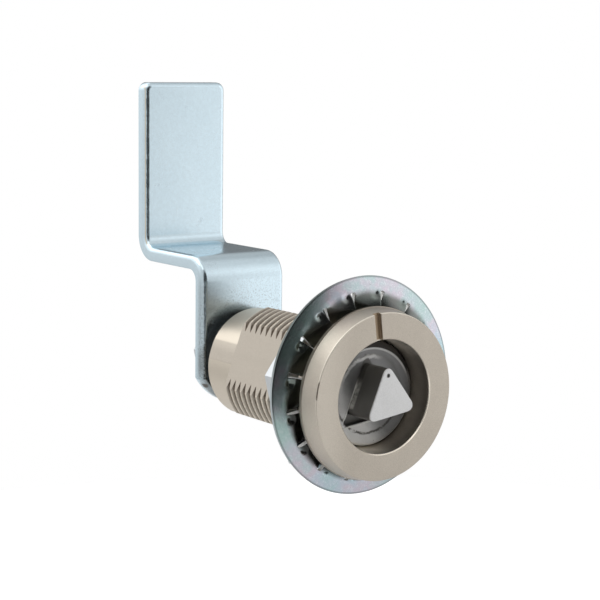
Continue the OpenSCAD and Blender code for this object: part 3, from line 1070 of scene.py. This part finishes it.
# %% Cast zinc
def cast_zinc():
    paint = Finish("bare cast zinc")
    grain = paint.mottle(0.18, 5.0, 0.65)
    cloud = paint.mottle(2.2, 4.0, 0.6)
    ripple = paint.mottle(1.3, 4.0, 0.7)
    on_disc = ease(paint.depth, -1.0, -0.6)
    from_pocket = from_triangle(paint, POST_INNER + FOOT_GAP, FOOT_DROP)
    around = paint.reach + ripple * 0.9
    pits = ease(paint.mottle(0.45, 2.0), 0.68, 0.78) * ease(paint.depth, -4.0, -1.0, 0.25, 1.0)
    shade = ease(paint.along((0.75, 0, 0.66)) + ripple * 1.5, -4.0, -0.5) * on_disc
    painted_light = painted_light_on_disc(paint, from_pocket) * on_disc
    # A painted highlight on the ridge round the post, at its upper left.
    lip = near(around, 6.3, 0.1, 0.42) * ease(paint.along((-0.6, 0, 0.8)), 2.5, 4.5) * on_disc
    scar = near(around, 7.0, 0.05, 0.30) * ease(paint.up, -2.0, -4.0) * ease(ripple, 0.28, 0.5) * on_disc
    burr = ease(abs(from_pocket - 0.20) + ripple * 0.2, 0.30, 0.18) * ease(paint.up, 3.0, 1.0) * on_disc
    post_and_pocket_shade = larger(post_side_shade(paint, ripple) * 0.8, foot_pocket(paint, from_pocket) * 0.95)
    blend = cloud * 0.6 + ease(grain, 0.35, 0.65) * 0.4
    tint = paint.mix(blend, (0.62, 0.62, 0.615), (0.765, 0.765, 0.765))
    tint = paint.coats(tint, [
        (painted_light * (ripple * 0.4 + 0.5), (0.95, 0.95, 0.94)),
        (shade * 0.72, (0.17, 0.172, 0.175)),
        (pits * 0.5, (0.10, 0.09, 0.08)),
        # Painted shade on the post's sides and in its pocket.
        (post_and_pocket_shade, (0.14, 0.135, 0.125)),
        (scar * 0.8, (0.13, 0.12, 0.11)),
        (lip * 0.75, (0.80, 0.80, 0.79)),
        (rim_highlight(paint) * on_disc * 0.5, (0.95, 0.95, 0.93)),
        (crescent_shadow(paint, ripple) * on_disc * 0.9, (0.035, 0.03, 0.025)),
        (burr * 0.85, (0.93, 0.93, 0.90)),
    ])
    roughness = grain * 0.2 + 0.36 + scar * 0.2 + on_disc * 0.12 + painted_light * 0.25
    height = grain + lip * 4.0 - scar * 3.0 + burr * 6.0
    return paint.surface(tint, roughness, height, 0.012, 1.0 - larger(painted_light, burr) * 0.35)


FINISHES["cast_zinc"] = cast_zinc()
add_piece("drive_core_dressed", core, "drive_core")

# %% [markdown]
# The cam is one strip of steel, punched, bent twice and plated. So a strip as wide as the cam
# is drawn up from its round foot, spun through each bend and given its thickness. The punch
# pulled the edges in on one side, wide and soft, and those on the other are only just broken.

# %% Cam
CAM_WIDTH = 17.2
CAM_SIDE = CAM_WIDTH / 2
CAM_STEEL = 2.5
CAM_FRONT = 35.95
CAM_REACH = 48.0
CAM_SHELF = 18.5
CAM_OFFSET = 19.4
CAM_BEND = 2.0
CAM_END = 9.9
CAM_END_CENTRE = 2.0
CAM_CORNER = 1.5
CAM_PULLED_EDGE = 0.95
CAM_SHEARED_EDGE = 0.2
CAM_COLUMNS = 32
CAM_HOLE = SQUARE + 0.1
TAB_FRONT = CAM_FRONT + CAM_OFFSET


def bend(made, edges, centre, angle):
    """Carries the strip's end edges round a bend and hands back the new end."""
    spun = bmesh.ops.spin(made, geom=edges, cent=centre, axis=(1, 0, 0), angle=angle, steps=12)
    return only(BMEdge, spun["geom_last"])


def draw(made, edges, way):
    """Draws the strip's end edges out straight and hands back the new end."""
    drawn = bmesh.ops.extrude_edge_only(made, edges=edges)["geom"]
    shift(made, way, only(BMVert, drawn))
    return only(BMEdge, drawn)


def cam_foot(top):
    """The flat strip from its round end up to the first bend."""
    made = bmesh.new()
    bmesh.ops.create_grid(made, x_segments=CAM_COLUMNS, y_segments=1, size=CAM_SIDE)
    rotate(made, QUARTER_TURN, "X")
    for vert in made.verts:
        low = CAM_END_CENTRE - math.sqrt(CAM_END ** 2 - vert.co.x ** 2)
        vert.co = (vert.co.x, CAM_FRONT, low if vert.co.z < 0 else top)
    return made


def cam_strip():
    """The strip without its thickness: foot, bend, shelf, bend and tab."""
    outer = CAM_BEND + CAM_STEEL
    base_top = CAM_SHELF - outer
    made = cam_foot(base_top)
    end = [edge for edge in made.edges if all(abs(vert.co.z - base_top) < 0.01 for vert in edge.verts)]
    end = bend(made, end, (0, CAM_FRONT + outer, base_top), -QUARTER_TURN)
    end = draw(made, end, (0, CAM_OFFSET + CAM_STEEL - 2 * outer, 0))
    end = bend(made, end, (0, TAB_FRONT + CAM_STEEL - outer, CAM_SHELF + CAM_BEND), QUARTER_TURN)
    draw(made, end, (0, 0, CAM_REACH - CAM_SHELF - CAM_BEND))
    tidy(made)
    bmesh.ops.dissolve_limit(made, angle_limit=math.radians(1), verts=made.verts, edges=made.edges)
    corners = [vert for vert in made.verts if vert.co.z > CAM_REACH - 0.01]
    round_corners(made, corners, CAM_CORNER, 8)
    return made


def bent_cam():
    made = cam_strip()
    sheet = set(made.verts)
    bmesh.ops.solidify(made, geom=made.faces[:], thickness=-CAM_STEEL)
    tidy(made)
    soften(made, CAM_PULLED_EDGE, 5, 60.0, lambda edge: sheet.issuperset(edge.verts), False)
    soften(made, CAM_SHEARED_EDGE, 2, 60.0, None, False)
    return carve(made, box(CAM_HOLE, 4 * CAM_STEEL, CAM_HOLE, (0, CAM_FRONT, 0)))


cam = bent_cam()
print("cam:", CAM_REACH, "mm up from the axis,", len(cam.faces), "faces")

# %% [markdown]
# The cam's zinc has a clear blue passivate: even, with faint stains, a dull spot and fine
# scratches along the strip. Its base carries painted shade, with a painted shadow round the
# body's end, and some grit. The pulled edge is wavy by far less than a tenth of a millimetre, so
# that is relief and not shape. A thin golden painted highlight runs along the tab's edge.

# %% Blue zinc
CAM_PIT = (-7.75, -4.3)


def base_shade(paint, cloud):
    """A painted shadow in a ring round the body's end, and painted shade over the lower left."""
    body_end_shadow = ease(paint.reach, PLAIN + 0.22, PLAIN - 1.18) * 0.75
    lower_left_base_shade = ease(paint.right + cloud * 6.0, 6.0, -5.0) * ease(paint.up, CAM_SHELF - 1.0, 12.0)
    return larger(body_end_shadow, lower_left_base_shade * 0.34)


def pulled_edge(paint, aside):
    """The soft edges of base and tab."""
    on_base = near(paint.depth, CAM_FRONT + 0.45, 0.55, 0.8)
    on_tab = near(paint.depth, TAB_FRONT + 0.45, 0.55, 0.8)
    edge = ease(aside, CAM_SIDE - CAM_PULLED_EDGE, CAM_SIDE - 0.5)
    return edge * ease(aside, CAM_SIDE - 0.02, CAM_SIDE - 0.14) * larger(on_base, on_tab)


def blue_zinc():
    paint = Finish("pale blue zinc plate")
    cloud = paint.mottle(6.0)
    grain = paint.mottle(0.2, 4.0, 0.6)
    stain = ease(paint.mottle(3.5, 5.0, 0.7), 0.60, 0.74)
    speckle = ease(paint.mottle(0.8, 4.0, 0.7), 0.35, 0.65)
    scratch = ease(paint.mottle(0.7, 3.0, 0.6, (1.0, 0.2, 0.08)), 0.66, 0.72)
    on_base = ease(paint.depth, CAM_FRONT + 2.05, CAM_FRONT + 0.85)
    pit = ease(paint.from_axis(*CAM_PIT) + grain * 0.3, 0.80, 0.50) * on_base
    gritty = ease(paint.mottle(0.3, 5.0, 0.75), 0.52, 0.62) * ease(paint.reach, 17.0, 10.0)
    aside = abs(paint.right)
    # A painted golden highlight along the tab's edge.
    tab_edge_highlight = near(aside, CAM_SIDE - 0.23, 0.04, 0.08) * near(paint.depth, TAB_FRONT + 0.25, 0.6, 0.9)
    uneven = pulled_edge(paint, aside) * (paint.mottle(1.3, 2.0, 0.5) - 0.5) * 26.0
    tint = paint.mix(cloud, (0.69, 0.835, 0.915), (0.74, 0.885, 0.96))
    tint = paint.coats(tint, [
        (stain * 0.14 + speckle * 0.07, (0.42, 0.47, 0.50)),
        (ease(grain, 0.4, 0.62) * 0.07, (0.42, 0.48, 0.52)),
        (scratch * 0.12, (0.85, 0.92, 0.95)),
        (pit * 0.9, (0.10, 0.055, 0.035)),
        # Painted shadow round the body's end and painted shade over the lower left.
        (base_shade(paint, cloud) * on_base, (0.17, 0.17, 0.16)),
        (gritty * on_base * 0.42, (0.12, 0.12, 0.12)),
        (tab_edge_highlight * 0.7, (0.70, 0.55, 0.34)),
    ])
    roughness = grain * 0.10 + 0.20 + stain * 0.08 + pit * 0.3
    return paint.surface(tint, roughness, grain + scratch * 0.4 + uneven, 0.004)


FINISHES["blue_zinc"] = blue_zinc()
add_piece("cam_dressed", cam, "cam")

# %% [markdown]
# A nut and a bolt head are hexagons whose corners a lathe has taken off, so each is a bar that
# keeps only what it shares with a turned blank. Both are bright zinc, an even cool grey with
# little grain. The bolt's thread never shows, so its shank is plain.

# %% Nut and bolt
NUT_FLATS = 27.0
NUT_FRONT = 4.3
NUT_DEPTH = 4.0
NUT_TURN = math.radians(11.7)
HALF_NUT = [(11.1, 0.35), (11.45, 0.0), (13.3, 0.0), (15.7, 0.8)]
BOLT_FLATS = 10.0
BOLT_FRONT = 40.05
BOLT_DEPTH = 4.0
BOLT_TURN = math.radians(10.6)
BOLT_RADIUS = 3.0
BOLT_TIP = 26.05
BOLT_BLANK = [
    (0, BOLT_FRONT), (4.8, BOLT_FRONT), (5.9, BOLT_FRONT + 0.15), (5.9, 43.4), (4.75, 44.05),
    (3.9, 44.05), (3.6, 43.8), (0, 43.75),
]


def hexagon(flats, front, depth, turned):
    made = bmesh.new()
    corner = flats / 2 / math.cos(math.radians(30))
    bmesh.ops.create_cone(made, cap_ends=True, segments=6, radius1=corner, radius2=corner, depth=depth)
    rotate(made, QUARTER_TURN, "X")
    rotate(made, QUARTER_TURN + turned)
    shift(made, (0, front + depth / 2, 0))
    return made


def mounting_nut():
    """The blank is the same from both ends, so its outline is one half and its mirror."""
    front = [(radius, NUT_FRONT + y) for radius, y in HALF_NUT]
    back = [(radius, NUT_FRONT + NUT_DEPTH - y) for radius, y in reversed(HALF_NUT)]
    bar = hexagon(NUT_FLATS, NUT_FRONT, NUT_DEPTH, NUT_TURN)
    made = carve(bar, turn(front + back, 144), "INTERSECT")
    soften(made, 0.08, 2, 35.0)
    return made


def cam_bolt():
    bar = hexagon(BOLT_FLATS, BOLT_FRONT, BOLT_DEPTH, BOLT_TURN)
    head = carve(bar, turn(BOLT_BLANK, 96), "INTERSECT")
    shank_front = BOLT_FRONT + 0.05
    shank = turn([
        (0, BOLT_TIP), (BOLT_RADIUS - 0.4, BOLT_TIP), (BOLT_RADIUS, BOLT_TIP + 0.45),
        (BOLT_RADIUS, shank_front), (0, shank_front),
    ], 48)
    made = join(head, shank)
    soften(made, 0.07, 2, 35.0)
    return made


def bright_zinc():
    paint = Finish("bright zinc plate")
    cloud = paint.mottle(3.0)
    grain = paint.mottle(0.2, 4.0, 0.6)
    tint = paint.mix(cloud, (0.53, 0.56, 0.58), (0.61, 0.63, 0.645))
    return paint.surface(tint, grain * 0.15 + 0.22, grain, 0.005)


FINISHES["bright_zinc"] = bright_zinc()
add_piece("mounting_nut_dressed", mounting_nut(), "mounting_nut")
add_piece("cam_bolt_dressed", cam_bolt(), "cam_bolt")

# %% [markdown]
# The small pieces inside keep their measured shape and only get their finish: oiled springs,
# turned steel, a rubber seal and a plastic slip ring.

# %% Inner pieces
def dark_steel():
    paint = Finish("dark oiled spring steel")
    cloud = paint.mottle(1.5)
    grain = paint.mottle(0.15, 4.0, 0.6)
    tint = paint.mix(cloud, (0.045, 0.047, 0.052), (0.09, 0.092, 0.10))
    return paint.surface(tint, grain * 0.16 + 0.34, grain, 0.004)


def turned_steel():
    """Stretched noise makes the fine rings of a lathe."""
    paint = Finish("plain turned steel")
    rings = paint.mottle(0.15, 3.0, 0.6, (0.05, 1.0, 0.05))
    cloud = paint.mottle(2.5)
    tint = paint.mix(cloud, (0.36, 0.365, 0.37), (0.46, 0.465, 0.47))
    return paint.surface(tint, rings * 0.15 + 0.3, rings, 0.006)


def seal_rubber():
    paint = Finish("black seal rubber")
    bloom = paint.mottle(0.6)
    tint = paint.mix(bloom, (0.012, 0.012, 0.012), (0.028, 0.028, 0.027))
    return paint.surface(tint, bloom * 0.15 + 0.5, bloom, 0.004, 0.0)


def slide_plastic():
    paint = Finish("natural slide plastic")
    cloud = paint.mottle(2.0)
    tint = paint.mix(cloud, (0.74, 0.71, 0.62), (0.80, 0.77, 0.69))
    return paint.surface(tint, cloud * 0.1 + 0.42, cloud, 0.003, 0.0)


def finish_measured_pieces():
    for node, piece in frame["nodes"].items():
        piece.data.materials.clear()
        piece.data.materials.append(FINISHES[slot_of(node)])


FINISHES["spring_steel"] = dark_steel()
FINISHES["plain_steel"] = turned_steel()
FINISHES["seal_rubber"] = seal_rubber()
FINISHES["slide_plastic"] = slide_plastic()
finish_measured_pieces()
print("finishes:", ", ".join(FINISHES))
